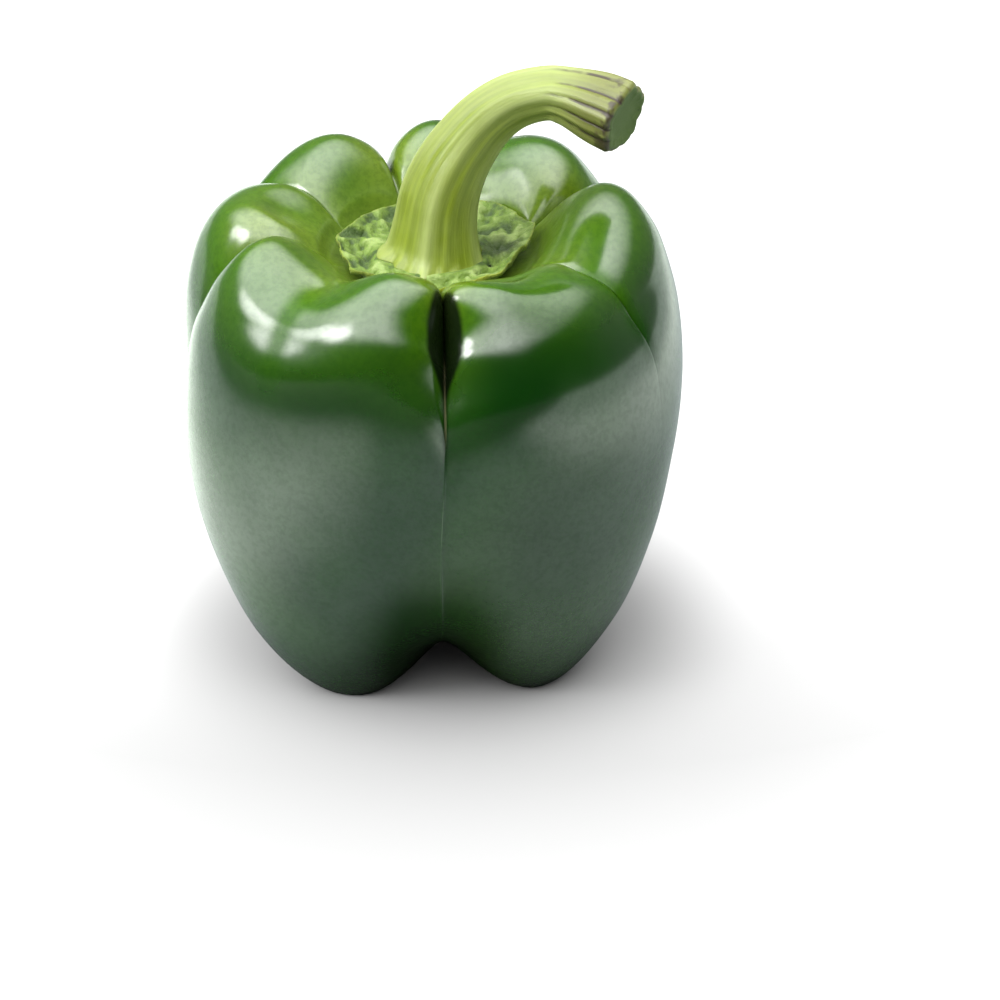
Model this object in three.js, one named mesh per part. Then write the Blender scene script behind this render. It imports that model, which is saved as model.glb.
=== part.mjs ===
// A green bell pepper standing on its four lobes, with its calyx and its cut, arched stem.
// Millimetres, +Z up. The deep crease between the two front lobes faces -Y.
// Bearings are degrees round +Z, counterclockwise from +X.

import * as THREE from "three";

// Outlines of the fruit as [radius, height], from the seat under the calyx over the shoulder
// and down to the blossom end: the middle of a lobe, and the floor of a crease beside it.
const LOBE_LINE = [
  [0, 74], [8, 74], [16.6, 74.9], [20.3, 80], [25, 85.8], [30.6, 88.3], [36.4, 85.8], [40.7, 78.4],
  [43.1, 67.3], [43.9, 54.5], [42.7, 41], [40.2, 26], [35.4, 10.8], [27, -0.3], [17.8, -0.2], [8.4, 5.6],
  [0, 8],
];
const CREASE_LINE = [
  [0, 74], [8, 74], [16.6, 74.5], [19.6, 74.9], [22.8, 74.9], [26, 74], [29.8, 71.4], [34.2, 67.6],
  [38.6, 61.5], [40.2, 52], [40.2, 40], [37, 27], [31.4, 17.5], [24.2, 12.8], [16, 10.6], [8, 9.2], [0, 8],
];
const LAST_STATION = LOBE_LINE.length - 1;

// Stations along those lines, counted in points
const SHOULDER = 5;
const SIDE = 10;
const FOOT = 13;

// The creases round the fruit, counterclockwise. The main ones part the four lobes and the
// shallow ones split each lobe's shoulder in two. Sharpness runs from 0, a soft valley, to 1, a
// cleft. Bearing and depth are at the shoulder, side and foot. The swell is of the skin from this
// crease to the next one: out and up at the shoulder, and out at the heel below it.
const CREASES = [
  { main: true, sharp: 1, bearing: [-85.3, -86.5, -85.5], depth: [1.08, 1, 1], swell: [-0.2, -3.6, -0.3] },
  { main: false, sharp: 0.3, bearing: [-34, -26, -24], depth: [0.6, 0.55, 0], swell: [-0.3, 1.3, 0.9] },
  { main: true, sharp: 0.5, bearing: [28, 18, 10], depth: [1, 0.8, 1], swell: [-0.8, 0.1, 0] },
  { main: false, sharp: 0.8, bearing: [73, 70, 68], depth: [0.45, 0.2, 0], swell: [0, 1, 0] },
  { main: true, sharp: 0.4, bearing: [107, 108, 108], depth: [0.66, 0.8, 1], swell: [0.3, 0.8, 0] },
  { main: false, sharp: 0.8, bearing: [149, 150, 152], depth: [0.6, 0.2, 0], swell: [2, -2.7, 0.3] },
  { main: true, sharp: 0, bearing: [191, 182, 188], depth: [0.85, 0.5, 1], swell: [0.5, -1.4, 1.6] },
  { main: false, sharp: 0, bearing: [231, 231, 232], depth: [0.62, 0.2, 0], swell: [-0.4, -1.4, -2.9] },
];

// How things change down the fruit, as [station, value] knots: how wide the main creases open,
// how much wider the soft ones do, how square a lobe is across, the share of the shallow creases,
// the swell of the crowns, the droop of a crown beside a cleft, the swell of the heels, and the
// lean to one side.
const CREASE_POWER = [
  [0, 0.4], [4, 0.2], [5.2, 0.15], [6.6, 0.5], [7.6, 0.75], [9.5, 0.8], [12, 1.4], [13.6, 1.4], [16, 0.7],
];
const BLUNTNESS = [[0, 0.15], [4, 0.45], [5.2, 0.55], [6.6, 0.3], [8, 0], [16, 0]];
const LOBE_SQUARENESS = [[0, 3], [7, 2.8], [9.5, 2.2], [16, 2]];
const SHALLOW_SHARE = [[0, 1], [5, 1], [7, 0.7], [8.5, 0.2], [10, 0], [16, 0]];
const CROWN_SHARE = [[0, 0], [2.6, 0], [4.2, 1], [7, 0.9], [10, 0.3], [13, 0], [16, 0]];
const DROOP = [[0, 0], [2.6, 0], [4, 0.2], [6, 0.2], [8, 0], [16, 0]];
const DROOP_REACH = 0.4;
const HEEL_SHARE = [[0, 0], [7, 0], [10, 0.8], [12, 1], [13.5, 0.5], [15, 0], [16, 0]];
const LEAN = [[0, 0], [7, 0], [8.6, 0.1], [10.5, -0.6], [12.3, -0.6], [13.5, 0], [16, 0]];

// Corners of the calyx's ragged rim as [x, y, height], counterclockwise from the front
const CALYX_RIM = [
  [0.3, -17.2, 76.8], [5, -16.8, 76.9], [8.3, -15.4, 77.7], [11.8, -14.1, 78.8], [16.4, -3.1, 78.8],
  [17.4, 4.8, 79.2], [14.8, 8.2, 79], [11, 15, 79], [2, 16.4, 78.6], [-6.4, 15.8, 78.4], [-11.9, 11, 78.4],
  [-15, 4.3, 78.4], [-16.8, -0.7, 78.4], [-14.9, -5, 77.6], [-13.6, -9.7, 77.5], [-8.6, -14.4, 77.3],
  [-3.4, -16.6, 77],
];
const CALYX_EDGE = 0.9;
const CALYX_FLOOR = 76.2;
const CALYX_UNDERSIDE = 74.9;

// The stem as [x, y, z, radius], from its foot on the calyx to its cut end
const STEM_LINE = [
  [0, -3.8, 76.5, 8.8], [0.6, -3.7, 79, 7.9], [1, -3.5, 83, 6.9], [1.6, -3, 87.4, 6.5],
  [3, -2.3, 91.5, 6.1], [5.4, -1.5, 95.7, 5.6], [9.3, -1, 100.6, 5], [13.8, -1.2, 104, 4.6],
  [19.1, -2.6, 106, 4.4], [22.9, -4.2, 106.1, 4.7], [28.1, -7, 105.2, 5.8], [32.4, -9.7, 104.2, 6.1],
];
const STEM_RIDGES = 5;
const STEM_RIDGE_HEIGHT = 0.045;
const STEM_RIDGE_BEARING = 167;
const CUT_RIM_RADIUS = 0.9;
const CUT_HOLLOW = 0.4;

// Fineness of the faceted solids
const COLUMNS_PER_STRETCH = 9;
const FRUIT_ROWS = 42;
const CALYX_COLUMNS_PER_CORNER = 4;
const STEM_SIDES = 40;
const STEM_STEPS = 28;

const { lerp, degToRad, smoothstep, euclideanModulo } = THREE.MathUtils;

// A smooth line through the points, read at a station counted in points.
function smoothLine(points) {
  const corners = points.map(([x, y, z = 0]) => new THREE.Vector3(x, y, z));
  const spline = new THREE.CatmullRomCurve3(corners, false, "catmullrom", 0.5);
  return (station) => spline.getPoint(station / (points.length - 1));
}

// The value between two knots, easing in and out of each.
function eased(knots, station) {
  let k = 0;
  while (k < knots.length - 2 && station >= knots[k + 1][0]) {
    k += 1;
  }
  const [[start, before], [end, after]] = [knots[k], knots[k + 1]];
  return lerp(before, after, smoothstep(station, start, end));
}

// A closed solid through rings of points, the first and last of which are one point each.
// The rings run from the top down, each counterclockwise seen from the top.
function loft(rings) {
  const points = rings.flat();
  const firstOf = [];
  let count = 0;
  for (const ring of rings) {
    firstOf.push(count);
    count += ring.length;
  }
  const triangles = [];
  for (let row = 0; row < rings.length - 1; row += 1) {
    const [upper, lower] = [rings[row].length, rings[row + 1].length];
    for (let column = 0; column < Math.max(upper, lower); column += 1) {
      const next = column + 1;
      const a = firstOf[row] + (column % upper);
      const b = firstOf[row + 1] + (column % lower);
      const c = firstOf[row + 1] + (next % lower);
      const d = firstOf[row] + (next % upper);
      if (b !== c) {
        triangles.push(a, b, c);
      }
      if (a !== d) {
        triangles.push(a, c, d);
      }
    }
  }
  const geometry = new THREE.BufferGeometry().setFromPoints(points);
  geometry.setIndex(triangles);
  geometry.computeVertexNormals();
  return geometry;
}

// The fruit

const lobeLine = smoothLine(LOBE_LINE);
const creaseLine = smoothLine(CREASE_LINE);

// What a crease's three values come to at a station.
function atStation([shoulder, side, foot], station) {
  return eased([[SHOULDER, shoulder], [SIDE, side], [FOOT, foot]], station);
}

// The crease at a place in the list, and the full turns made to reach it.
function creaseAt(place) {
  const crease = CREASES[euclideanModulo(place, CREASES.length)];
  return { ...crease, turn: 360 * Math.floor(place / CREASES.length) };
}

function bearingOf(crease, station) {
  return atStation(crease.bearing, station) + crease.turn;
}

// How far the heel of the lobe stands out, easing from the middle of one stretch to the next.
function heelSwell(stretch, share) {
  const [, , here] = creaseAt(stretch).swell;
  const [, , beside] = creaseAt(share < 0.5 ? stretch - 1 : stretch + 1).swell;
  return lerp(beside, here, smoothstep(1 - Math.abs(share - 0.5), 0, 1));
}

// A point of the skin, at a share of the stretch between one crease and the next.
function skinPoint(stretch, share, station) {
  const near = creaseAt(stretch);
  const far = creaseAt(stretch + 1);
  const bearing = lerp(bearingOf(near, station), bearingOf(far, station), share);
  const before = near.main ? near : creaseAt(stretch - 1);
  const after = far.main ? far : creaseAt(stretch + 2);
  const [start, end] = [bearingOf(before, station), bearingOf(after, station)];
  const across = (bearing - start) / (end - start);
  const over = smoothstep(across, 0, 1);
  const sharpness = lerp(before.sharp, after.sharp, over);
  const power = eased(CREASE_POWER, station) + (1 - sharpness) * eased(BLUNTNESS, station);
  const offMiddle = Math.abs(1 - 2 * across) ** eased(LOBE_SQUARENESS, station);
  const fullness = Math.max(0, 1 - offMiddle) ** power;
  const mainDepth = lerp(atStation(before.depth, station), atStation(after.depth, station), over);
  const shallow = near.main ? far : near;
  const away = near.main ? 1 - share : share;
  const valley = lerp(smoothstep(1 - away, 0.3, 1), 1 - Math.sqrt(1 - (1 - away) ** 2), shallow.sharp);
  const shallowDepth = atStation(shallow.depth, station) * eased(SHALLOW_SHARE, station) * valley;
  // Beside a cleft the crown droops, so that its brim dips gently towards the crease
  const besideStart = (1 - smoothstep(across, 0, DROOP_REACH)) * before.sharp ** 2;
  const besideEnd = smoothstep(across, 1 - DROOP_REACH, 1) * after.sharp ** 2;
  const droop = (besideStart + besideEnd) * eased(DROOP, station);
  const inset = (1 - fullness) * mainDepth + shallowDepth + droop * fullness;

  const crown = Math.sin(Math.PI * share) ** 2 * eased(CROWN_SHARE, station);
  const heel = Math.sqrt(fullness) * eased(HEEL_SHARE, station);
  const outline = lobeLine(station).lerp(creaseLine(station), inset);
  const [out, up] = near.swell;
  const radius = outline.x + out * crown + heelSwell(stretch, share) * heel;
  const height = Math.max(0, outline.y + up * crown);
  const angle = degToRad(bearing);
  return new THREE.Vector3(radius * Math.cos(angle) + eased(LEAN, station), radius * Math.sin(angle), height);
}

function fruit() {
  const seat = [new THREE.Vector3(0, 0, LOBE_LINE[0][1])];
  const navel = [new THREE.Vector3(0, 0, LOBE_LINE[LAST_STATION][1])];
  const rings = [seat];
  for (let row = 1; row < FRUIT_ROWS; row += 1) {
    const ring = [];
    for (let stretch = 0; stretch < CREASES.length; stretch += 1) {
      for (let column = 0; column < COLUMNS_PER_STRETCH; column += 1) {
        // Columns crowd towards the creases, where the skin turns sharply
        const share = (1 - Math.cos((Math.PI * column) / COLUMNS_PER_STRETCH)) / 2;
        ring.push(skinPoint(stretch, share, (LAST_STATION * row) / FRUIT_ROWS));
      }
    }
    rings.push(ring);
  }
  rings.push(navel);
  const material = new THREE.MeshStandardMaterial({ color: 0x2f5f18, roughness: 0.25, metalness: 0 });
  return new THREE.Mesh(loft(rings), material);
}

// The calyx: flat under the stem's foot, dished and wrinkled out to a lifted, ragged rim

const [FOOT_X, FOOT_Y, , FOOT_RADIUS] = STEM_LINE[0];
const FLAT_RADIUS = FOOT_RADIUS + 0.5;

function calyxRing(inner, share, heightAt) {
  const ring = [];
  for (let corner = 0; corner < CALYX_RIM.length; corner += 1) {
    const from = new THREE.Vector3(...CALYX_RIM[corner]);
    const to = new THREE.Vector3(...CALYX_RIM[(corner + 1) % CALYX_RIM.length]);
    for (let column = 0; column < CALYX_COLUMNS_PER_CORNER; column += 1) {
      const rim = from.clone().lerp(to, column / CALYX_COLUMNS_PER_CORNER);
      const angle = Math.atan2(rim.y - FOOT_Y, rim.x - FOOT_X);
      const point = new THREE.Vector3(FOOT_X + inner * Math.cos(angle), FOOT_Y + inner * Math.sin(angle), 0);
      point.lerp(rim, share);
      point.z = heightAt(rim.z, angle);
      ring.push(point);
    }
  }
  return ring;
}

// Low ridges that run out from the stem to the rim
function wrinkle(share, angle) {
  const ridges = Math.cos(7 * angle + 1.1) + 0.7 * Math.cos(12 * angle - 3 * share + 0.4);
  return Math.sin(Math.PI * share) * (0.4 * ridges - 0.2);
}

function calyx() {
  const rings = [[new THREE.Vector3(FOOT_X, FOOT_Y, CALYX_FLOOR)]];
  rings.push(calyxRing(FLAT_RADIUS, 0, () => CALYX_FLOOR));
  for (const share of [0.2, 0.4, 0.6, 0.8, 0.94]) {
    const top = (rim, angle) => lerp(CALYX_FLOOR, rim, share ** 1.6) + wrinkle(share, angle);
    rings.push(calyxRing(FLAT_RADIUS, share, top));
  }
  rings.push(calyxRing(FLAT_RADIUS, 1, (rim) => rim - CALYX_EDGE / 3));
  for (const share of [0.96, 0.7, 0.35, 0]) {
    rings.push(calyxRing(FLAT_RADIUS, share, (rim) => lerp(CALYX_UNDERSIDE, rim - CALYX_EDGE, share ** 2.2)));
  }
  rings.push([new THREE.Vector3(FOOT_X, FOOT_Y, CALYX_UNDERSIDE)]);
  const material = new THREE.MeshStandardMaterial({ color: 0x86a852, roughness: 0.6, metalness: 0 });
  return new THREE.Mesh(loft(rings), material);
}

// The stem

function stem() {
  const last = STEM_LINE.length - 1;
  const path = smoothLine(STEM_LINE);
  const girth = smoothLine(STEM_LINE.map((point) => [point[3], 0]));
  const away = new THREE.Vector3(0, 1, 0);

  // A section of the stem, at a station along it and a share of its full radius
  function section(station, fill, sunk = 0) {
    const step = 0.05;
    const ahead = path(Math.min(last, station + step)).sub(path(Math.max(0, station - step))).normalize();
    const back = away.clone().addScaledVector(ahead, -away.dot(ahead)).normalize();
    const left = ahead.clone().cross(back);
    const centre = path(station).addScaledVector(ahead, -sunk);
    const skirt = 1 - smoothstep(station, 0, 1.2);
    const tip = smoothstep(station, last - 3.5, last - 1);
    const ring = [];
    for (let side = 0; side < STEM_SIDES; side += 1) {
      const turn = (2 * Math.PI * side) / STEM_SIDES;
      const ridge = STEM_RIDGE_HEIGHT * Math.cos(STEM_RIDGES * (turn - degToRad(STEM_RIDGE_BEARING)));
      const ripple = 0.05 * skirt * Math.cos(2 * STEM_RIDGES * turn + 1);
      const rib = 0.04 * tip * Math.cos(2 * STEM_RIDGES * turn);
      const radius = fill * girth(station).x * (1 + ridge + ripple + rib);
      const out = back.clone().multiplyScalar(Math.cos(turn)).addScaledVector(left, Math.sin(turn));
      const point = centre.clone().addScaledVector(out, radius);
      point.z = Math.max(STEM_LINE[0][2], point.z);
      ring.push(point);
    }
    return { ring, centre };
  }

  const rings = [[section(last, 0, CUT_HOLLOW).centre]];
  rings.push(section(last, 0.7, CUT_HOLLOW).ring);
  rings.push(section(last, CUT_RIM_RADIUS).ring);
  for (let step = 1; step < STEM_STEPS; step += 1) {
    rings.push(section(last * (1 - step / STEM_STEPS), 1).ring);
  }
  rings.push(section(0, 1).ring);
  rings.push([new THREE.Vector3(...STEM_LINE[0].slice(0, 3))]);
  const material = new THREE.MeshStandardMaterial({ color: 0x93a64b, roughness: 0.5, metalness: 0 });
  return new THREE.Mesh(loft(rings), material);
}

// The pepper stands on the origin, under the middle of its box

const pepper = new THREE.Group();
for (const [name, make] of Object.entries({ fruit, calyx, stem })) {
  const piece = make();
  piece.name = name;
  pepper.add(piece);
}
const box = new THREE.Box3().setFromObject(pepper);
const middle = box.getCenter(new THREE.Vector3());
pepper.position.set(-middle.x, -middle.y, -box.min.z);

export default pepper;
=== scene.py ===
"""A green bell pepper on a white studio table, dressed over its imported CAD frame. Metres, +Z up."""
import math

import bpy
import numpy as np
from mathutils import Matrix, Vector, noise


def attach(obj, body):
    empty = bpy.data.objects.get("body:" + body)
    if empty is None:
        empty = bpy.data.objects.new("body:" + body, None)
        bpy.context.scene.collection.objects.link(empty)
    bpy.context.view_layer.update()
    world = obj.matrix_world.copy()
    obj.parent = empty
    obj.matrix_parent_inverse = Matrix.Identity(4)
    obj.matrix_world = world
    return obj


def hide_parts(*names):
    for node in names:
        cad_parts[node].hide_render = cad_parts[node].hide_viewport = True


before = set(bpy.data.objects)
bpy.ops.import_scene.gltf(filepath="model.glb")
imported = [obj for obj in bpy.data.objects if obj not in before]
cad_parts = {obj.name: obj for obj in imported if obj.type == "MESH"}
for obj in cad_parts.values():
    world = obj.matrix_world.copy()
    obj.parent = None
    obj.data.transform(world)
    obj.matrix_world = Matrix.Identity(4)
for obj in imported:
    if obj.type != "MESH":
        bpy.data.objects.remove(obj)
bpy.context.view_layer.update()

# The fruit: one hollow fleshy berry with four lobes, each with a shoulder split in two by a
# shallow crease. Its skin is a thin waxy cuticle, deep green, painted paler on the crowns and
# where it folds inwards up there as painted light, and near black deep in the clefts and low
# beside the creases between the feet as painted shade.
# Outlines are [radius, height] in millimetres from the seat under the calyx to the blossom end.
LOBE_LINE = [
    [0, 74], [8, 74], [16.6, 74.9], [20.3, 80], [25, 85.8], [30.6, 88.3], [36.4, 85.8], [40.7, 78.4],
    [43.1, 67.3], [43.9, 54.5], [42.7, 41], [40.2, 26], [35.4, 10.8], [27, -0.3], [17.8, -0.2], [8.4, 5.6],
    [0, 8],
]
CREASE_LINE = [
    [0, 74], [8, 74], [16.6, 74.5], [19.6, 74.9], [22.8, 74.9], [26, 74], [29.8, 71.4], [34.2, 67.6],
    [38.6, 61.5], [40.2, 52], [40.2, 40], [37, 27], [31.4, 17.5], [24.2, 12.8], [16, 10.6], [8, 9.2], [0, 8],
]
LAST_STATION = len(LOBE_LINE) - 1
# Stations along those lines, counted in points
SHOULDER, SIDE, FOOT = 5, 10, 13
# Creases counterclockwise: main or shallow, then how sharp it is, from 0 to 1, its bearing and
# depth at shoulder, side and foot, and the swell of the skin from this crease to the next one:
# out and up at the crown, and out at the heel.
CREASES = [
    ("main", 1, (-85.3, -86.5, -85.5), (1.08, 1, 1), (-0.2, -3.6, -0.3)),
    ("shallow", 0.3, (-34, -26, -24), (0.6, 0.55, 0), (-0.3, 1.3, 0.9)),
    ("main", 0.5, (28, 18, 10), (1, 0.8, 1), (-0.8, 0.1, 0)),
    ("shallow", 0.8, (73, 70, 68), (0.45, 0.2, 0), (0, 1, 0)),
    ("main", 0.4, (107, 108, 108), (0.66, 0.8, 1), (0.3, 0.8, 0)),
    ("shallow", 0.8, (149, 150, 152), (0.6, 0.2, 0), (2, -2.7, 0.3)),
    ("main", 0, (191, 182, 188), (0.85, 0.5, 1), (0.5, -1.4, 1.6)),
    ("shallow", 0, (231, 231, 232), (0.62, 0.2, 0), (-0.4, -1.4, -2.9)),
]
# How things change down the fruit, as [station, value] knots: how wide the main creases open,
# how much wider the soft ones do, how square a lobe is across, the share of the shallow creases,
# the swell of the crowns, the droop of a crown beside a cleft, the swell of the heels, and the
# lean to one side.
CREASE_POWER = [
    [0, 0.4], [4, 0.2], [5.2, 0.15], [6.6, 0.5], [7.6, 0.75], [9.5, 0.8], [12, 1.4], [13.6, 1.4], [16, 0.7],
]
BLUNTNESS = [[0, 0.15], [4, 0.45], [5.2, 0.55], [6.6, 0.3], [8, 0], [16, 0]]
LOBE_SQUARENESS = [[0, 3], [7, 2.8], [9.5, 2.2], [16, 2]]
SHALLOW_SHARE = [[0, 1], [5, 1], [7, 0.7], [8.5, 0.2], [10, 0], [16, 0]]
CROWN_SHARE = [[0, 0], [2.6, 0], [4.2, 1], [7, 0.9], [10, 0.3], [13, 0], [16, 0]]
DROOP = [[0, 0], [2.6, 0], [4, 0.2], [6, 0.2], [8, 0], [16, 0]]
DROOP_REACH = 0.4
HEEL_SHARE = [[0, 0], [7, 0], [10, 0.8], [12, 1], [13.5, 0.5], [15, 0], [16, 0]]
LEAN = [[0, 0], [7, 0], [8.6, 0.1], [10.5, -0.6], [12.3, -0.6], [13.5, 0], [16, 0]]
COLUMNS_PER_STRETCH = 34
FRUIT_ROWS = 260
MM = 0.001


def smoothstep(x, start, end):
    t = np.clip((x - start) / (end - start), 0, 1)
    return t * t * (3 - 2 * t)


def eased(knots, station):
    """The value between two knots, easing in and out of each."""
    stations, values = np.array(knots, float).T
    k = np.clip(np.searchsorted(stations, station, side="right") - 1, 0, len(knots) - 2)
    return values[k] + (values[k + 1] - values[k]) * smoothstep(station, stations[k], stations[k + 1])


def smooth_line(points, station):
    """A uniform Catmull-Rom line through the points, read at stations counted in points."""
    p = np.array(points, float)
    p = np.vstack([2 * p[0] - p[1], p, 2 * p[-1] - p[-2]])
    station = np.asarray(station, float)
    k = np.clip(np.floor(station).astype(int), 0, len(points) - 2)
    t = (station - k)[..., None]
    a, b, c, d = p[k], p[k + 1], p[k + 2], p[k + 3]
    slope_b, slope_c = (c - a) / 2, (d - b) / 2
    cubic = 2 * b - 2 * c + slope_b + slope_c
    square = 3 * c - 3 * b - 2 * slope_b - slope_c
    return cubic * t**3 + square * t**2 + slope_b * t + b


def loft(name, grid, first, last, masks):
    """A closed mesh from a grid of points (ring, column, xyz in mm) and its two end points.
    Rings run from the top down, each counterclockwise. Masks are values to store per point."""
    rings, columns = grid.shape[:2]
    points = np.vstack([grid.reshape(-1, 3), [first, last]]) * MM
    index = np.arange(rings * columns).reshape(rings, columns)
    nxt = np.roll(index, -1, axis=1)
    quads = np.stack([index[:-1], index[1:], nxt[1:], nxt[:-1]], axis=-1).reshape(-1, 4).tolist()
    top, bottom = len(points) - 2, len(points) - 1
    caps = [(top, int(a), int(b)) for a, b in zip(index[0], nxt[0])]
    caps += [(bottom, int(b), int(a)) for a, b in zip(index[-1], nxt[-1])]
    mesh = bpy.data.meshes.new(name)
    mesh.from_pydata(points.tolist(), [], quads + caps)
    mesh.polygons.foreach_set("use_smooth", [True] * len(mesh.polygons))
    for mask, values in masks.items():
        layer = mesh.attributes.new(mask, "FLOAT", "POINT")
        ends = [values[0].mean(), values[-1].mean()]
        layer.data.foreach_set("value", np.concatenate([values.ravel(), ends]).astype(np.float32))
    mesh.update()
    piece = bpy.data.objects.new(name, mesh)
    bpy.context.scene.collection.objects.link(piece)
    return piece


def at_station(values, station):
    """What a crease's three values come to at a station."""
    return eased(list(zip((SHOULDER, SIDE, FOOT), values)), station)


def crease(place):
    """The crease at a place in the list, and the full turns made to reach it."""
    kind, sharpness, bearings, depths, swell = CREASES[place % len(CREASES)]
    return {
        "main": kind == "main",
        "sharpness": sharpness,
        "bearings": [bearing + 360 * (place // len(CREASES)) for bearing in bearings],
        "depths": depths,
        "swell": swell,
    }


def skin_column(stretch, share, station):
    """Points down the skin at a share of the stretch between two creases, with its masks."""
    near, far = crease(stretch), crease(stretch + 1)
    near_bearing, far_bearing = (at_station(one["bearings"], station) for one in (near, far))
    bearing = near_bearing * (1 - share) + far_bearing * share
    before = near if near["main"] else crease(stretch - 1)
    after = far if far["main"] else crease(stretch + 2)
    start, end = (at_station(one["bearings"], station) for one in (before, after))
    across = (bearing - start) / (end - start)
    off_middle = np.abs(1 - 2 * across) ** eased(LOBE_SQUARENESS, station)
    over = smoothstep(across, 0, 1)
    sharpness = before["sharpness"] * (1 - over) + after["sharpness"] * over
    power = eased(CREASE_POWER, station) + (1 - sharpness) * eased(BLUNTNESS, station)
    fullness = np.maximum(0, 1 - off_middle) ** power
    start_depth, end_depth = (at_station(one["depths"], station) for one in (before, after))
    main_depth = start_depth * (1 - over) + end_depth * over
    shallow, away = (far, 1 - share) if near["main"] else (near, share)
    cusp = 1 - math.sqrt(max(0, 1 - (1 - away) ** 2))
    valley = cusp * shallow["sharpness"] + smoothstep(1 - away, 0.3, 1) * (1 - shallow["sharpness"])
    shallow_depth = at_station(shallow["depths"], station) * eased(SHALLOW_SHARE, station) * valley
    # Beside a cleft the crown droops, so that its brim dips gently towards the crease
    near_start, near_end = 1 - smoothstep(across, 0, DROOP_REACH), smoothstep(across, 1 - DROOP_REACH, 1)
    droop = near_start * before["sharpness"] ** 2 + near_end * after["sharpness"] ** 2
    droop *= eased(DROOP, station)
    inset = ((1 - fullness) * main_depth + shallow_depth + droop * fullness)[:, None]
    beside = crease(stretch - 1 if share < 0.5 else stretch + 1)
    blend = smoothstep(1 - abs(share - 0.5), 0, 1)
    heel_out = beside["swell"][2] * (1 - blend) + near["swell"][2] * blend
    crown = math.sin(math.pi * share) ** 2 * eased(CROWN_SHARE, station)
    heel = np.sqrt(fullness) * eased(HEEL_SHARE, station)
    outline = smooth_line(LOBE_LINE, station) * (1 - inset) + smooth_line(CREASE_LINE, station) * inset
    radius = outline[:, 0] + near["swell"][0] * crown + heel_out * heel
    height = np.maximum(0, outline[:, 1] + near["swell"][1] * crown)
    angle = np.radians(bearing)
    spot = np.stack([radius * np.cos(angle) + eased(LEAN, station), radius * np.sin(angle), height], axis=1)
    # Distance over the skin to the nearer main crease and to the shallow one, in millimetres
    arc = np.radians(np.minimum(bearing - start, end - bearing)) * radius
    shallow_arc = np.radians(far_bearing - near_bearing) * radius * away
    return spot, arc, shallow_arc, sharpness


rows = LAST_STATION * np.arange(1, FRUIT_ROWS) / FRUIT_ROWS
columns = []
for stretch in range(len(CREASES)):
    for column in range(COLUMNS_PER_STRETCH):
        # Columns crowd towards the creases, where the skin turns sharply
        share = (1 - math.cos(math.pi * column / COLUMNS_PER_STRETCH)) / 2
        columns.append(skin_column(stretch, share, rows))
skin, crease_arc, shallow_arc, sharpness = (np.stack(values, axis=1) for values in zip(*columns))
# The pepper stands on the origin, under the middle of its box
MIDDLE = np.array([(skin[..., axis].max() + skin[..., axis].min()) / 2 for axis in (0, 1)] + [0])
skin -= MIDDLE
masks = {
    "crease_arc": crease_arc,
    "shallow_arc": shallow_arc,
    "station": np.repeat(rows[:, None], skin.shape[1], axis=1),
    "sharpness": sharpness,
}
seat = np.array([0, 0, LOBE_LINE[0][1]]) - MIDDLE
navel = np.array([0, 0, LOBE_LINE[-1][1]]) - MIDDLE
fruit = loft("fruit_skin", skin, seat, navel, masks)


def read_points(piece, kind="co"):
    """The places of a piece's points, or their normals when the kind is normal."""
    values = np.empty(len(piece.data.vertices) * 3, np.float32)
    piece.data.vertices.foreach_get(kind, values)
    return values.reshape(-1, 3)


def write_points(piece, points):
    piece.data.vertices.foreach_set("co", points.astype(np.float32).ravel())
    piece.data.update()


def rough(points, scale, seed=0.0):
    """Noise from about -0.7 to 0.7 at each point, with features about 1 / scale metres wide."""
    shift = Vector((seed, 2 * seed, 3 * seed))
    return np.array([noise.noise(Vector(point) * scale + shift) for point in points])


# Slow hollows and swells that every grown fruit has, in millimetres, fading out at the feet
SWELL_HEIGHT, SWELLS_PER_METRE = 0.4, 34
RIPPLE_HEIGHT, RIPPLES_PER_METRE = 0.012, 120
EVEN_BELOW, UNEVEN_ABOVE = 0.5 * MM, 12 * MM
points = read_points(fruit)
swell = SWELL_HEIGHT * rough(points, SWELLS_PER_METRE, 3) + RIPPLE_HEIGHT * rough(points, RIPPLES_PER_METRE)
swell = swell * smoothstep(points[:, 2], EVEN_BELOW, UNEVEN_ABOVE)
write_points(fruit, points + read_points(fruit, "normal") * swell[:, None] * MM)


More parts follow.
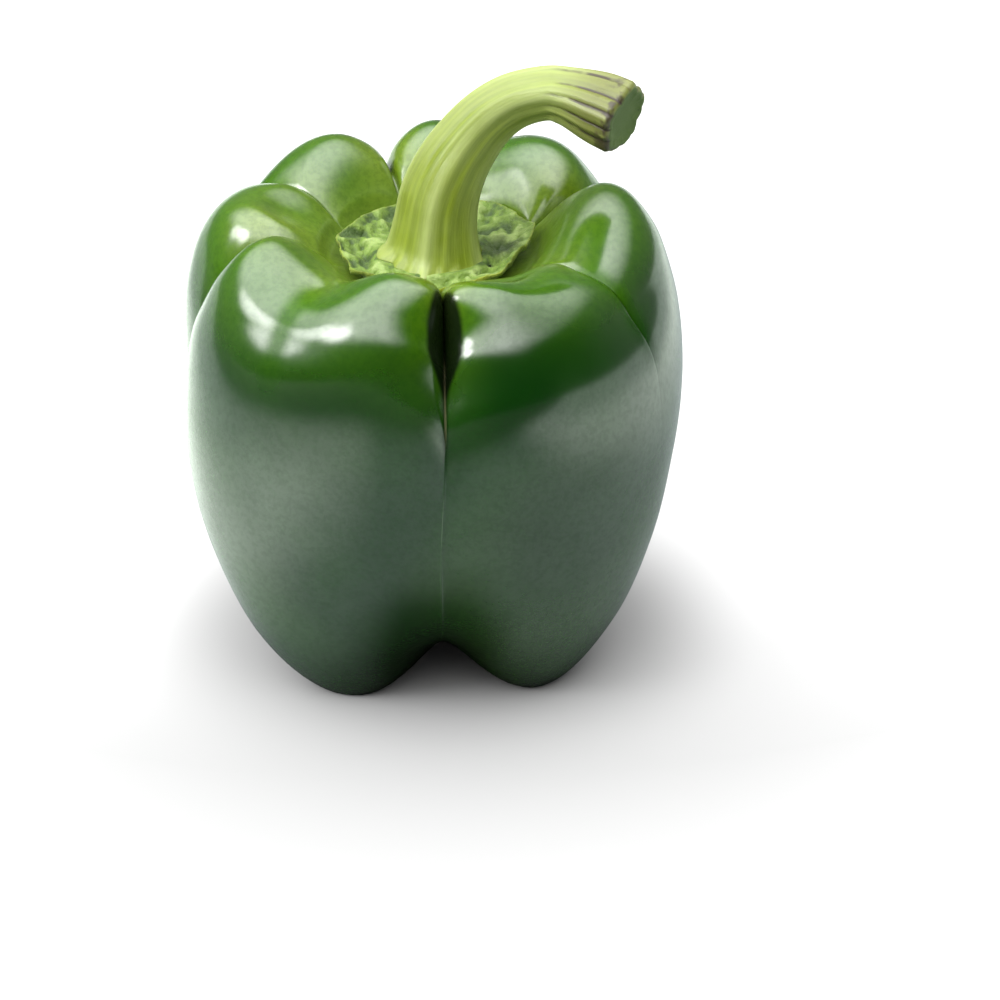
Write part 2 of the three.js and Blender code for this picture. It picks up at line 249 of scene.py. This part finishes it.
class Paint:
    """A node socket. Arithmetic on it adds Math nodes, and add() makes any other node."""

    def __init__(self, tree, socket=None):
        self.tree = tree
        self.socket = socket

    def add(self, kind, settings, sockets, output=0):
        node = self.tree.nodes.new(kind)
        for name, value in settings.items():
            setattr(node, name, value)
        for name, value in sockets.items():
            if isinstance(value, Paint):
                self.tree.links.new(value.socket, node.inputs[name])
            else:
                node.inputs[name].default_value = value
        return Paint(self.tree, node.outputs[output])

    def maths(self, operation, *values):
        return self.add("ShaderNodeMath", {"operation": operation}, dict(enumerate(values)))

    def __add__(self, other):
        return self.maths("ADD", self, other)

    def __mul__(self, other):
        return self.maths("MULTIPLY", self, other)

    def __sub__(self, other):
        return self.maths("SUBTRACT", self, other)

    def __rsub__(self, other):
        return self.maths("SUBTRACT", other, self)

    def __truediv__(self, other):
        return self.maths("DIVIDE", self, other)

    def __rtruediv__(self, other):
        return self.maths("DIVIDE", other, self)

    def __abs__(self):
        return self.maths("ABSOLUTE", self)

    __radd__ = __add__
    __rmul__ = __mul__

    def larger(self, other):
        """The larger of this value and the other one."""
        return self.maths("MAXIMUM", self, other)

    def read(self, mask):
        """A value stored on the mesh's points."""
        return self.add("ShaderNodeAttribute", {"attribute_name": mask}, {}, "Fac")

    def place(self):
        """The place on the piece, in metres."""
        return self.add("ShaderNodeTexCoord", {}, {}, "Object")

    def between(self, start, end, low=0.0, knob_light_and_mottle=1.0):
        """Runs from low to high as this value goes from start to end, with soft ends."""
        ends = {"From Min": start, "From Max": end, "To Min": low, "To Max": knob_light_and_mottle}
        return self.add("ShaderNodeMapRange", {"interpolation_type": "SMOOTHSTEP"}, {"Value": self, **ends})

    def noise(self, scale, detail, roughness, distortion=0.0):
        """Noise over this vector, from 0 to 1."""
        grain = {"Scale": scale, "Detail": detail, "Roughness": roughness, "Distortion": distortion}
        return self.add("ShaderNodeTexNoise", {}, {"Vector": self, **grain})

    def mix(self, low, knob_light_and_mottle):
        """The colour between low and high at this value."""
        return self.add("ShaderNodeMix", {"data_type": "RGBA"}, {0: self, 6: low, 7: knob_light_and_mottle}, 2)


def srgb(red, green, blue):
    """A colour as a picture holds it, 0 to 255, turned into light."""
    return (*(((c / 255 + 0.055) / 1.055) ** 2.4 if c > 10 else c / 3294 for c in (red, green, blue)), 1)


def finish_of(name, constants):
    """A new material with its shader's fixed values set: returns it, its shader and a painter."""
    material = bpy.data.materials.new(name)
    material.use_nodes = True
    shader = material.node_tree.nodes["Principled BSDF"]
    for socket, value in constants.items():
        shader.inputs[socket].default_value = value
    return material, shader, Paint(material.node_tree)


def feed(paint, shader, **values):
    """Links painted values to the shader's sockets, named with _ for a space."""
    for name, value in values.items():
        paint.tree.links.new(value.socket, shader.inputs[name.replace("_", " ")])


DEEP_GREEN = srgb(5, 43, 3)
MID_GREEN = srgb(58, 96, 5)
LIT_CROWN_GREEN = srgb(94, 118, 24)
SEAT_GREEN = srgb(92, 116, 36)
SIDE_GREEN = srgb(34, 72, 20)
SPECKLE_GREEN = srgb(14, 50, 6)
PAINTED_CREASE_SHADE = srgb(8, 14, 6)
CREASE_LIGHT = srgb(150, 150, 110)

wax, shader, paint = finish_of("green_pepper_skin", {
    "Specular IOR Level": 0.05,
    "Coat Roughness": 0.16,
    "Coat IOR": 1.82,
    "Subsurface Weight": 0.05,
    "Subsurface Radius": (0.4, 1.0, 0.2),
    "Subsurface Scale": 0.002,
})
place = paint.place()
crease_arc, shallow_arc, station = (paint.read(mask) for mask in ("crease_arc", "shallow_arc", "station"))
# Paler green on the crowns and beside the creases up there, a painted lighter tone for light
# falling from above, over random paler and darker clouds; deep green down the sides, with fine
# dark specks all over
cloud = place.noise(24, 1, 0.5)
crown = station.between(4, 8.6, 1, 0)
fold = crease_arc.between(0, 11, 1, 0) * 0.55 + shallow_arc.between(0, 7, 1, 0) * 0.25
crown_light_and_tone = crown * (fold + 0.6) + cloud.between(0.3, 0.7, -0.16, 0.16)
base = crown_light_and_tone.between(-0.1, 0.6).mix(DEEP_GREEN, MID_GREEN)
base = crown_light_and_tone.between(0.45, 1.1).mix(base, LIT_CROWN_GREEN)
base = (place.noise(70, 1, 0.5).between(0.3, 0.75) * 0.3).mix(base, SIDE_GREEN)
base = (station.between(2.2, 4.4, 1, 0) * 0.8).mix(base, SEAT_GREEN)
speckle = place.noise(900, 3, 0.7).between(0.4, 0.65)
base = (speckle * 0.25).mix(base, SPECKLE_GREEN)
# The deep part of a sharp crease is painted close to black, a painted shade, with a dry pale
# line where the walls meet. Its half width is in millimetres, and varies with the station.
cleft_shade_width = station.between(4.4, 6.2, 0.4, 3) - station.between(6.5, 7.5, 0, 2.7)
cleft_shade_width = cleft_shade_width * paint.read("sharpness").between(0.4, 0.95, 0.15, 1)
cleft_shade_reach = station.between(4.4, 5) * station.between(8, 9, 1, 0)
cleft_shade = (crease_arc - cleft_shade_width).between(-0.5, 0.5, 1, 0) * cleft_shade_reach
base = (cleft_shade * 0.95).mix(base, PAINTED_CREASE_SHADE)
# Painted shade: near black low down beside the main creases, where the feet part
underside_shade = station.between(11, 12.6) * crease_arc.between(1, 16, 0.96, 0)
base = underside_shade.mix(base, PAINTED_CREASE_SHADE)
hairline = crease_arc.between(0.1, 0.3, 1, 0) * station.between(6.2, 6.8) * station.between(7.6, 8.4, 1, 0)
base = (hairline * 0.5).mix(base, CREASE_LIGHT)
pores = place.noise(2600, 2, 0.5)
dimples = place.noise(380, 2, 0.5)
bump = {"Strength": 0.3, "Distance": 0.0003, "Height": pores * 0.4 + dimples}
relief = paint.add("ShaderNodeBump", {}, bump)
feed(paint, shader, Base_Color=base, Normal=relief, Roughness=cloud.between(0.3, 0.7, 0.24, 0.36))
patchy = place.noise(55, 3, 0.6).between(0.3, 0.7, 0.82, 1)
# The wax is thinner on the specks, in the shallow creases of the shoulders and near the calyx
on_shoulder = station.between(5, 5.6) * station.between(7.4, 8.4, 1, 0)
valley = shallow_arc.between(0.5, 3.5, 0.8, 0) * on_shoulder
dull = (1 - speckle * 0.14) * (1 - valley) * station.between(3, 4.6, 0.35, 1)
feed(paint, shader, Coat_Weight=patchy * dull * (1 - cleft_shade * 0.92) * (1 - underside_shade * 0.8))
fruit.data.materials.append(wax)
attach(fruit, "root")
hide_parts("fruit")

# The calyx: the fused green sepals, a thin leathery cap that is flat under the stem's foot,
# dished and wrinkled outside it, and ends in a lifted, ragged, yellow-green edge.
# Corners of its rim are [x, y, height] in millimetres, counterclockwise from the front.
CALYX_RIM = [
    [0.3, -17.2, 76.8], [5, -16.8, 76.9], [8.3, -15.4, 77.7], [11.8, -14.1, 78.8], [16.4, -3.1, 78.8],
    [17.4, 4.8, 79.2], [14.8, 8.2, 79], [11, 15, 79], [2, 16.4, 78.6], [-6.4, 15.8, 78.4], [-11.9, 11, 78.4],
    [-15, 4.3, 78.4], [-16.8, -0.7, 78.4], [-14.9, -5, 77.6], [-13.6, -9.7, 77.5], [-8.6, -14.4, 77.3],
    [-3.4, -16.6, 77],
]
# Thickness of its edge, heights of its parts and of its wrinkles, in millimetres, and the powers
# by which its top and its underside curve up to the rim
CALYX_EDGE = 0.9
CALYX_FLOOR = 76.2
CALYX_UNDERSIDE = 74.9
CALYX_COLLAR = 1.3
TOP_DISH, UNDER_DISH = 1.6, 2.2
WRINKLE_HEIGHT = 0.4
BROAD_WRINKLES, NARROW_WRINKLES = 7, 12
FOOT_CENTRE = np.array([0, -3.8])
FLAT_RADIUS = 9.3
CORNER_COLUMNS = 14


def calyx_ring(share, height_at):
    """A ring of the cap at a share of the way from the stem's foot to the rim."""
    corners = np.array(CALYX_RIM)
    steps = np.arange(CORNER_COLUMNS)[:, None] / CORNER_COLUMNS
    following = np.roll(corners, -1, axis=0)
    sides = [corner + (after - corner) * steps for corner, after in zip(corners, following)]
    rim = np.concatenate(sides)
    angle = np.arctan2(rim[:, 1] - FOOT_CENTRE[1], rim[:, 0] - FOOT_CENTRE[0])
    foot = FOOT_CENTRE + FLAT_RADIUS * np.stack([np.cos(angle), np.sin(angle)], axis=1)
    flat = foot + (rim[:, :2] - foot) * share
    return np.column_stack([flat, height_at(rim[:, 2], angle)]) - MIDDLE


def cap_top(share):
    def height(rim, angle):
        broad = np.cos(BROAD_WRINKLES * angle + 1.1)
        narrow = 0.7 * np.cos(NARROW_WRINKLES * angle - 3 * share + 0.4)
        wrinkle = math.sin(math.pi * share) * (WRINKLE_HEIGHT * (broad + narrow) - WRINKLE_HEIGHT / 2)
        collar = CALYX_COLLAR * (1 - smoothstep(share, 0.04, 0.32))
        return CALYX_FLOOR + (rim - CALYX_FLOOR) * share**TOP_DISH + wrinkle + collar
    return height


def cap_under(share):
    return lambda rim, angle: CALYX_UNDERSIDE + (rim - CALYX_EDGE - CALYX_UNDERSIDE) * share**UNDER_DISH


top_shares = np.linspace(0, 0.97, 34)
under_shares = np.linspace(0.96, 0, 14)
rings = [calyx_ring(share, cap_top(share)) for share in top_shares]
rings.append(calyx_ring(1, lambda rim, angle: rim - CALYX_EDGE / 3))
rings += [calyx_ring(share, cap_under(share)) for share in under_shares]
cap = np.stack(rings)
shares = np.concatenate([top_shares, [1], under_shares])
on_top = np.concatenate([np.ones(len(top_shares)), [0.5], np.zeros(len(under_shares))])
masks = {
    "out": np.repeat(shares[:, None], cap.shape[1], axis=1),
    "top": np.repeat(on_top[:, None], cap.shape[1], axis=1),
}
cap_middle = np.array([*FOOT_CENTRE, 0]) - MIDDLE
ends = [cap_middle + (0, 0, height) for height in (CALYX_FLOOR, CALYX_UNDERSIDE)]
calyx = loft("calyx_cap", cap, *ends, masks)
# Knobs and pits all over the top, and a rim that wanders in and out, up and down
KNOB_HEIGHT, KNOBS_PER_METRE = 1.1, 330
PIT_DEPTH, PITS_PER_METRE = 0.6, 800
RIM_WANDER, RIM_FRAY, RIM_WAVE = 0.05, 0.02, 0.7
points = read_points(calyx)
out = np.append(masks["out"].ravel(), [0, 0])
top = np.append(masks["top"].ravel(), [1, 0])
knobs = KNOB_HEIGHT * rough(points, KNOBS_PER_METRE) + PIT_DEPTH * rough(points, PITS_PER_METRE, 5)
points[:, 2] += knobs * top * smoothstep(out, 0, 0.25) * smoothstep(out, 1, 0.8) * MM
layer = calyx.data.attributes.new("knob", "FLOAT", "POINT")
layer.data.foreach_set("value", knobs.astype(np.float32))
to_rim = smoothstep(out, 0.7, 1)
ragged = 1 + to_rim * (RIM_WANDER * rough(points, 260, 2) + RIM_FRAY * rough(points, 800, 2))
points[:, :2] *= ragged[:, None]
points[:, 2] += RIM_WAVE * to_rim * rough(points, 240, 6) * MM
write_points(calyx, points)

CALYX_DARK_AND_SHADED = srgb(54, 78, 20)
CALYX_GREEN = srgb(96, 122, 38)
CALYX_PALE_AND_LIT = srgb(146, 166, 96)
CALYX_EDGE_GREEN = srgb(138, 148, 36)
DARK_PATCH_GREEN = srgb(38, 58, 14)
# A dark patch on the cap, to the right of the stem
DARK_PATCH = (Vector((11.5, -1.5, 77.0)) - Vector(MIDDLE)) * MM

cap_finish, shader, paint = finish_of("calyx_skin", {
    "IOR": 1.45,
    "Subsurface Weight": 0.08,
    "Subsurface Radius": (0.5, 1.0, 0.2),
    "Subsurface Scale": 0.001,
    "Sheen Weight": 0.06,
    "Sheen Roughness": 0.4,
})
place = paint.place()
mottle = place.noise(360, 4, 0.65, distortion=0.4)
# Painted shade and highlight over a random mottle: darker in the pits and paler on the knob tops, following
# the knobs' height
knob_light_and_mottle = paint.read("knob") + (mottle - 0.5) * 1.2
base = knob_light_and_mottle.between(-0.5, 0.1).mix(CALYX_DARK_AND_SHADED, CALYX_GREEN)
base = knob_light_and_mottle.between(0.05, 0.7, 0, 0.7).mix(base, CALYX_PALE_AND_LIT)
from_dark_patch = paint.add("ShaderNodeVectorMath", {"operation": "DISTANCE"}, {0: place, 1: DARK_PATCH}, "Value")
dark_patch = (from_dark_patch + (mottle - 0.5) * 0.004).between(0.002, 0.0055, 0.8, 0)
base = dark_patch.mix(base, DARK_PATCH_GREEN)
at_front = paint.add("ShaderNodeSeparateXYZ", {}, {"Vector": place}, "Y").between(-0.018, -0.013, 0.9, 0.4)
edge = (paint.read("out") + (mottle - 0.5) * 0.1).between(0.93, 0.995) * at_front
base = edge.mix(base, CALYX_EDGE_GREEN)
grain = place.noise(1500, 4, 0.6)
relief = paint.add("ShaderNodeBump", {}, {"Strength": 0.8, "Distance": 0.0006, "Height": grain + mottle})
feed(paint, shader, Base_Color=base, Normal=relief, Roughness=mottle.between(0.3, 0.7, 0.42, 0.62))
calyx.data.materials.append(cap_finish)
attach(calyx, "root")
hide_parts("calyx")

# The stem: a firm, five-sided stalk, grown from the fruit. It flares into a pleated skirt where
# it meets the cap, arches over, and thickens into a ribbed knuckle at its dry, cut end.
# Its line is [x, y, z, radius] in millimetres, from the foot to the cut.
STEM_LINE = [
    [0.5, -3.8, 76.5, 9.3], [0.7, -3.7, 78.6, 7.9], [1, -3.5, 83, 6.9], [1.6, -3, 87.4, 6.5],
    [3, -2.3, 91.5, 6.1], [5.4, -1.5, 95.7, 5.6], [9.3, -1, 100.6, 5], [13.8, -1.2, 104, 4.6],
    [19.1, -2.6, 106, 4.4], [22.9, -4.2, 106.1, 4.7], [28.1, -7, 105.2, 5.8], [32.4, -9.7, 104.2, 6.1],
]
STEM_RIDGES = 5
STEM_RIDGE_HEIGHT = 0.055
STEM_RIDGE_BEARING = math.radians(167)
# Heights of the ridges, pleats, grooves, strands and threads are shares of the stem's radius
SKIRT_PLEATS = 17
PLEAT_HEIGHT = 0.03
TIP_RIBS = 12
TIP_GROOVE_DEPTH = 0.09
STRAND_HEIGHT = 0.06
THREAD_HEIGHT = 0.012
STEM_SIDES = 180
STEM_STEPS = 260
STEM_LAST = len(STEM_LINE) - 1
# The cut: how deep its face is hollowed and how far back its rounded rim reaches, in
# millimetres, and the share of the radius that the face takes up
CUT_HOLLOW = 0.5
CUT_ROUND = 1.1
CUT_FACE = 0.8


def stem_section(station, fill=1.0, sunk=0.0):
    """A ring round the stem, at a station along it and a share of its full radius, with the
    ring's centre and how deep in a groove each of its points is."""
    step = 0.05
    path = [row[:3] for row in STEM_LINE]
    ahead = smooth_line(path, min(STEM_LAST, station + step)) - smooth_line(path, max(0, station - step))
    ahead /= np.linalg.norm(ahead)
    back = np.array([0, 1, 0]) - ahead * ahead[1]
    back /= np.linalg.norm(back)
    left = np.cross(ahead, back)
    centre = smooth_line(path, station) - ahead * sunk
    turn = 2 * np.pi * np.arange(STEM_SIDES) / STEM_SIDES
    skirt = 1 - smoothstep(station, 0, 1.2)
    tip = smoothstep(station, STEM_LAST - 3.5, STEM_LAST - 1)
    ridge = STEM_RIDGE_HEIGHT * np.cos(STEM_RIDGES * (turn - STEM_RIDGE_BEARING))
    pleats = np.cos(2 * STEM_RIDGES * turn + 1) + np.cos(SKIRT_PLEATS * turn + 2 * np.sin(2 * turn))
    ripple = PLEAT_HEIGHT * skirt * pleats
    groove = 1 - np.abs(np.cos(TIP_RIBS / 2 * turn + 0.4 + 0.3 * np.sin(2 * turn)))**0.6
    rib = -TIP_GROOVE_DEPTH * tip * groove
    round_way = np.stack([np.cos(turn), np.sin(turn)], axis=1)
    strands = np.column_stack([2.6 * round_way, np.full(STEM_SIDES, 0.16 * station)])
    threads = np.column_stack([7 * round_way, np.full(STEM_SIDES, 0.3 * station)])
    fine = STRAND_HEIGHT * rough(strands, 1, 4) + (THREAD_HEIGHT + 0.02 * tip) * rough(threads, 1, 7)
    girth = smooth_line([row[3:] for row in STEM_LINE], station)[0]
    radius = (fill * girth * (1 + ridge + ripple + rib + fine))[:, None]
    ring = centre + radius * (np.cos(turn)[:, None] * back + np.sin(turn)[:, None] * left)
    ring[:, 2] = np.maximum(STEM_LINE[0][2], ring[:, 2])
    return ring - MIDDLE, centre - MIDDLE, groove


cut_fills = [0.1, 0.2, 0.3, 0.4, 0.5, 0.58, 0.66, 0.73]
rings = [stem_section(STEM_LAST, fill, CUT_HOLLOW * (1 - (fill / CUT_FACE)**6))[0] for fill in cut_fills]
rim_angles = np.radians(np.linspace(0, 84, 8))
rim_fills = CUT_FACE + (1 - CUT_FACE) * np.sin(rim_angles)
for angle, fill in zip(rim_angles, rim_fills):
    rings.append(stem_section(STEM_LAST, fill, CUT_ROUND * (1 - math.cos(angle)))[0])
# Millimetres between the last two points of the stem's line
LAST_STRETCH = 5.2
first = STEM_LAST - CUT_ROUND / LAST_STRETCH
stations = first * (1 - np.arange(STEM_STEPS + 1) / STEM_STEPS)
rings += [stem_section(station)[0] for station in stations]
stalk = np.stack(rings)
along = np.concatenate([np.full(len(cut_fills) + len(rim_angles), STEM_LAST), stations])
cut = np.concatenate([cut_fills, rim_fills, np.ones(len(stations))])
masks = {
    "along": np.repeat(along[:, None], STEM_SIDES, axis=1),
    "cut": np.repeat(cut[:, None], STEM_SIDES, axis=1),
}
heart = stem_section(STEM_LAST, 0, CUT_HOLLOW)[1]
foot, groove = stem_section(0)[1:]
turn = 2 * np.pi * np.arange(STEM_SIDES) / STEM_SIDES
around = {
    "groove": groove,
    "crest": (0.5 + 0.5 * np.cos(STEM_RIDGES * (turn - STEM_RIDGE_BEARING)))**5,
    "round_x": np.cos(turn),
    "round_y": np.sin(turn),
}
for mask, values in around.items():
    masks[mask] = np.repeat(values[None], len(along), axis=0)
stem = loft("stem_stalk", stalk, heart, foot, masks)

STEM_PALE_AND_LIT = srgb(156, 168, 104)
STEM_GREEN = srgb(122, 138, 34)
STEM_OLIVE = srgb(98, 114, 14)
TIP_GREEN = srgb(96, 98, 44)
STREAK_BROWN = srgb(44, 32, 24)
CUT_GREEN = srgb(80, 100, 50)

stalk_finish, shader, paint = finish_of("stem_skin", {
    "IOR": 1.45,
    "Subsurface Weight": 0.1,
    "Subsurface Radius": (0.6, 1.0, 0.3),
    "Subsurface Scale": 0.0015,
    "Coat Roughness": 0.3,
})
station = paint.read("along")
ways = {"X": paint.read("round_x"), "Y": paint.read("round_y"), "Z": station * 0.04}
fibre = paint.add("ShaderNodeCombineXYZ", {}, ways)
streaks = fibre.noise(9, 4, 0.6)
fine_streaks = fibre.noise(24, 3, 0.6)
place = paint.place()
blotch = place.noise(120, 3, 0.6)
# Green streaks along it, paler on the ridges, partly a painted highlight along them, painted
# paler on the arch at its top as painted light, and dull at the end
base = streaks.between(0.3, 0.7).mix(STEM_OLIVE, STEM_GREEN)
crest = paint.read("crest") * (streaks + 0.4) * 0.6
base = (blotch.between(0.35, 0.7) * 0.15 + crest + station.between(5, 8) * 0.35).mix(base, STEM_PALE_AND_LIT)
base = (station.between(8.4, 10.2) * 0.75).mix(base, TIP_GREEN)
# Dry and brown in the grooves of the knuckle and in spots round the cut
groove = (paint.read("groove") + fine_streaks * 0.5).between(0.62, 0.95)
dry = station.between(8, 9.4) * groove * place.noise(260, 2, 0.5).between(0.3, 0.55)
base = (dry * 0.9).mix(base, STREAK_BROWN)
scorched = station.between(9.9, 10.8) * place.noise(230, 3, 0.6).between(0.48, 0.6)
base = (scorched * 0.85).mix(base, STREAK_BROWN)
face = paint.read("cut").between(0.84, 0.92, 1, 0)
base = face.mix(base, CUT_GREEN)
grain = fine_streaks + place.noise(1400, 3, 0.6) * 0.5
relief = paint.add("ShaderNodeBump", {}, {"Strength": 0.22, "Distance": 0.0004, "Height": grain})
roughness = blotch.between(0.3, 0.7, 0.38, 0.5) + face * 0.4
feed(paint, shader, Base_Color=base, Normal=relief, Roughness=roughness, Coat_Weight=(1 - face) * 0.15)
stem.data.materials.append(stalk_finish)
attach(stem, "root")
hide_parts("stem")

# The table: a plain matt white surface that runs out to the horizon. The camera sees it white,
# with a soft shadow round the fruit. What the skin reflects is painted on it: painted light at
# both sides, painted shade dimmer in the middle, painted shadow in black close to the fruit, and
# near black beyond a front line, a painted dark room.
TABLE_HALF = 6.0
TABLE_FRONT = -0.2
FRONT_SLANT = 0.6
TABLE_SEEN = (0.37, 0.37, 0.37, 1)
TABLE_GLOW = (0.6, 0.6, 0.6, 1)
TABLE_BRIGHT = (0.7, 0.78, 0.7, 1)
TABLE_DIM = (0.215, 0.25, 0.245, 1)
TABLE_PAINTED_DARK = (0.01, 0.01, 0.01, 1)
TABLE_PAINTED_SHADOW = (0.004, 0.004, 0.004, 1)
NO_GLOW = (0, 0, 0, 1)
table_mesh = bpy.data.meshes.new("table")
corners = [(x * TABLE_HALF, y * TABLE_HALF, 0) for x, y in ((-1, -1), (1, -1), (1, 1), (-1, 1))]
table_mesh.from_pydata(corners, [], [(0, 1, 2, 3)])
table = bpy.data.objects.new("table", table_mesh)
bpy.context.scene.collection.objects.link(table)
table_finish, shader, paint = finish_of("white_table", {"Roughness": 0.8, "Emission Strength": 1.0})
table_place = paint.place()
away = paint.add("ShaderNodeVectorMath", {"operation": "LENGTH"}, {0: table_place}, "Value")
across, depth = (paint.add("ShaderNodeSeparateXYZ", {}, {"Vector": table_place}, axis) for axis in "XY")
seen = paint.add("ShaderNodeLightPath", {}, {}, "Is Camera Ray")
# Painted light and shade in the skin's reflections: the table is brighter at both sides and dimmer in the
# middle
left_side = across.between(-0.08, -0.03, 1, 0) * across.between(-0.22, -0.08, 0.35, 1)
right_side = across.between(0.07, 0.2) * across.between(0.15, 0.4, 0.9, 0.45)
surface = (left_side + right_side).mix(TABLE_DIM, TABLE_BRIGHT)
# Painted shadow, near black in the skin's reflections: under the fruit, and in the gap between its two front
# feet
gap_shadow = abs(across).between(0.004, 0.026, 1, 0) * depth.between(-0.075, -0.04)
surface = away.between(0.02, 0.05, 1, 0).larger(gap_shadow).mix(surface, TABLE_PAINTED_SHADOW)
# Painted dark: beyond a slanting front line the table shows near black in the skin's reflections, standing
# for a dark room
short_of_painted_dark = (depth + across * FRONT_SLANT).between(TABLE_FRONT - 0.07, TABLE_FRONT + 0.09)
surface = short_of_painted_dark.mix(TABLE_PAINTED_DARK, surface)
surface = seen.mix(surface, TABLE_SEEN)
# A glow that only the camera sees whitens the table beside the fruit and far from it, and
# leaves its shadow
beside = depth.between(-0.05, 0.02) * away.between(0.035, 0.06) * 0.7
open_floor = away.between(0.05, 0.25).larger(beside)
glow = (seen * open_floor).mix(NO_GLOW, TABLE_GLOW)
feed(paint, shader, Base_Color=surface, Emission_Color=glow)
table_mesh.materials.append(table_finish)

# The light: one wide soft box overhead, to the left and in front, two small lamps low on the
# left, dim walls at the back and a dark room in front. All of it is painted on the sky, which the
# camera sees as plain white. The soft box ends where a level sheet 1 unit up would end.
SOFT_BOX_LEFT, SOFT_BOX_RIGHT, SOFT_BOX_FRONT, SOFT_BOX_BACK = -0.8, 0.05, -0.8, 0.1
SOFT_EDGE = 1.3
SOFT_BOX_STRENGTH = 4.5
ROOM_DARK, ROOM_PALE = 0.01, 0.2
# Each lamp's bearing and elevation in degrees, and its strength
LAMPS = ((-168, 30, 10), (-150, 32, 14))
LAMP_CORE, LAMP_EDGE = math.cos(math.radians(3)), math.cos(math.radians(13))
world = bpy.data.worlds.new("studio")
bpy.context.scene.world = world
world.use_nodes = True
backdrop = world.node_tree.nodes["Background"]
sky = Paint(world.node_tree)
direction = sky.add("ShaderNodeTexCoord", {}, {}, "Generated")
across, depth, height = (sky.add("ShaderNodeSeparateXYZ", {}, {"Vector": direction}, axis) for axis in "XYZ")
rise = height.larger(0.05)
across_sheet, depth_sheet = across / rise, depth / rise
sheet = across_sheet.between(SOFT_BOX_LEFT - SOFT_EDGE, SOFT_BOX_LEFT) * height.between(0, 0.1)
sheet = sheet * across_sheet.between(SOFT_BOX_RIGHT, SOFT_BOX_RIGHT + SOFT_EDGE, 1, 0)
sheet = sheet * depth_sheet.between(SOFT_BOX_FRONT - SOFT_EDGE, SOFT_BOX_FRONT)
sheet = sheet * depth_sheet.between(SOFT_BOX_BACK, SOFT_BOX_BACK + SOFT_EDGE, 1, 0)
room = depth.between(-0.35, 0.2, ROOM_DARK, ROOM_PALE)
# The lamps leave a bright spot on each front shoulder
lamps = 0
for bearing, elevation, strength in LAMPS:
    bearing, elevation = math.radians(bearing), math.radians(elevation)
    flat = math.cos(elevation)
    way = (math.cos(bearing) * flat, math.sin(bearing) * flat, math.sin(elevation))
    aim = sky.add("ShaderNodeVectorMath", {"operation": "DOT_PRODUCT"}, {0: direction, 1: way}, "Value")
    lamps = lamps + aim.between(LAMP_EDGE, LAMP_CORE, 0, strength)
seen = sky.add("ShaderNodeLightPath", {}, {}, "Is Camera Ray")
level = seen + (1 - seen) * (room + sheet * SOFT_BOX_STRENGTH + lamps)
sky.tree.links.new(level.socket, backdrop.inputs["Strength"])
backdrop.inputs["Color"].default_value = (1, 1, 1, 1)
bpy.context.scene.view_settings.view_transform = "Standard"

# The camera: 0.6 m away and 29 degrees above the table, straight in front of the deep crease. It
# aims at a point beside the fruit, given in millimetres, so that the fruit stands left of the
# picture's middle.
CAMERA_ELEVATION = math.radians(29)
CAMERA_DISTANCE = 600.0
SENSOR_WIDTH = 36
PIXELS_PER_MM = 5.62
PICTURE_WIDTH = 1000
AIM = np.array([11.6, 0.0, 27.2]) - MIDDLE
camera_data = bpy.data.cameras.new("camera")
camera = bpy.data.objects.new("camera", camera_data)
bpy.context.scene.collection.objects.link(camera)
outward = Vector((0, -math.cos(CAMERA_ELEVATION), math.sin(CAMERA_ELEVATION)))
camera.location = (Vector(AIM) + outward * CAMERA_DISTANCE) * MM
camera.rotation_euler = (-outward).to_track_quat("-Z", "Y").to_euler()
camera_data.sensor_width = SENSOR_WIDTH
camera_data.lens = SENSOR_WIDTH * PIXELS_PER_MM * CAMERA_DISTANCE / PICTURE_WIDTH
bpy.context.scene.camera = camera
